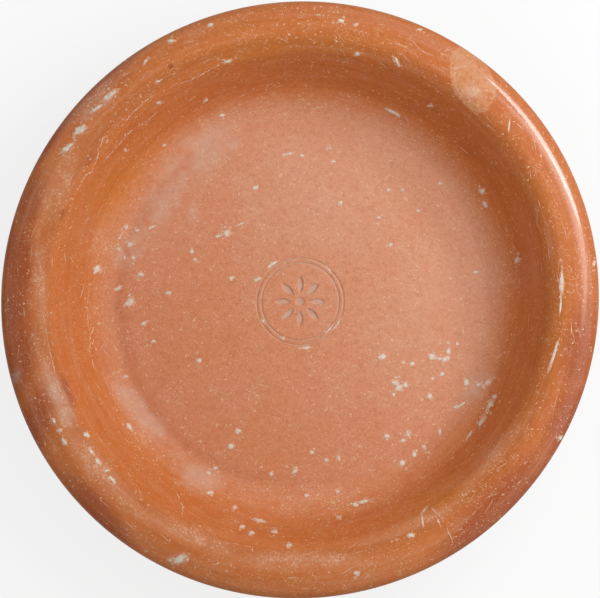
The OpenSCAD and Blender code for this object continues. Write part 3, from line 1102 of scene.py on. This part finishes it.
# Name, azimuth and elevation in degrees, distance, width and height in metres, power in watts
LAMPS = [
    ("key", 20, 51, 0.5, 0.36, 0.36, 1.36),
    ("sheen", 34, 34, 0.7, 0.36, 0.07, 0.75),
]
CAMERA_DISTANCE = 1.3
CAMERA_WIDTH = 0.1904  # what the picture is wide at that distance
CAMERA_AIM = (0, 0, 0.0339)
CAMERA_SHIFT = -0.06
SENSOR_WIDTH = 36


class BOWL_OT_stage(bpy.types.Operator):
    """Sets the bowl on a white floor under soft studio light, seen from straight above"""

    bl_idname = "bowl.stage"
    bl_label = "Stage"

    def execute(self, context):
        self.backdrop()
        self.light()
        self.camera(context)
        context.scene.view_settings.view_transform = "Standard"
        return {"FINISHED"}

    @staticmethod
    def seen(r):
        """1 for what the camera sees directly, in a reflection or through glass."""
        kinds = ("Camera", "Glossy", "Transmission")
        rays = [r.node("LightPath", out=f"Is {kind} Ray") for kind in kinds]
        return rays[0].at_least(rays[1]).at_least(rays[2])

    def backdrop(self):
        start_fresh()
        bpy.ops.mesh.primitive_plane_add(size=FLOOR_SIZE)
        floor = bpy.context.object
        floor.name = "studio_floor"
        r = Recipe("white_floor")
        tone = r.mix(self.seen(r), (0.35, 0.35, 0.35), (0.8, 0.8, 0.8))
        matt = r.node("BsdfDiffuse", {"Color": tone})
        white = r.node("Emission", {"Color": (1, 1, 1, 1), "Strength": 1.0})
        lifted = r.node("MixShader", {0: self.seen(r) * 0.8, 1: matt, 2: white})
        floor.data.materials.append(r.finish(lifted))

    def light(self):
        bpy.context.scene.world = world = bpy.data.worlds.new("studio")
        r = Recipe("studio", world)
        above = r.split(r.node("TexCoord", out="Generated"))[2]
        soft = FILL * (0.55 + above.step(-0.1, 0.9) * 0.65)
        plain = r.node("Background", {"Color": (1, 1, 1, 1), "Strength": soft})
        white = r.node("Background", {"Color": (1, 1, 1, 1), "Strength": 1.0})
        both = r.node("MixShader", {0: self.seen(r), 1: plain, 2: white})
        r.node("OutputWorld", {"Surface": both})
        for name, azimuth, elevation, far, width, height, power in LAMPS:
            place = far * Vector((
                cos(radians(elevation)) * cos(radians(azimuth)),
                cos(radians(elevation)) * sin(radians(azimuth)),
                sin(radians(elevation)),
            ))
            aim = (-place).to_track_quat("-Z", "Y").to_euler()
            bpy.ops.object.light_add(type="AREA", location=place, rotation=aim)
            lamp = bpy.context.object
            lamp.name = name
            lamp.data.shape = "ELLIPSE"
            lamp.data.size, lamp.data.size_y = width, height
            lamp.data.energy = power

    @staticmethod
    def camera(context):
        height = CAMERA_AIM[2] + CAMERA_DISTANCE
        bpy.ops.object.camera_add(location=(0, CAMERA_SHIFT, height))
        camera = bpy.context.object
        camera.name = "camera"
        aim = Vector(CAMERA_AIM) - camera.location
        camera.rotation_euler = aim.to_track_quat("-Z", "Y").to_euler()
        camera.data.sensor_width = SENSOR_WIDTH
        camera.data.lens = SENSOR_WIDTH * CAMERA_DISTANCE / CAMERA_WIDTH
        camera.data.clip_end = 20
        context.scene.camera = camera


class BOWL_PT_panel(bpy.types.Panel):
    """Lists the steps that build the bowl"""

    bl_label = "Bowl"
    bl_idname = "BOWL_PT_panel"
    bl_space_type = "VIEW_3D"
    bl_region_type = "UI"
    bl_category = "Bowl"

    def draw(self, context):
        for operator in OPERATORS:
            self.layout.operator(operator.bl_idname)
        for group in (context.scene.bowl_sizes, context.scene.bowl_finish):
            box = self.layout.box()
            for name in group.bl_rna.properties.keys()[2:]:
                box.prop(group, name)


OPERATORS = (BOWL_OT_clay, BOWL_OT_inside_slip, BOWL_OT_outside_slip, BOWL_OT_lime, BOWL_OT_stage)
CLASSES = (BowlSizes, BowlFinish, *OPERATORS, BOWL_PT_panel)


def register():
    for made in CLASSES:
        bpy.utils.register_class(made)
    bpy.types.Scene.bowl_sizes = PointerProperty(type=BowlSizes)
    bpy.types.Scene.bowl_finish = PointerProperty(type=BowlFinish)


def unregister():
    del bpy.types.Scene.bowl_sizes
    del bpy.types.Scene.bowl_finish
    for made in reversed(CLASSES):
        bpy.utils.unregister_class(made)


def main():
    register()
    bpy.ops.bowl.clay()
    bpy.ops.bowl.inside_slip()
    bpy.ops.bowl.outside_slip()
    bpy.ops.bowl.lime()
    bpy.ops.bowl.stage()


if __name__ == "__main__":
    main()
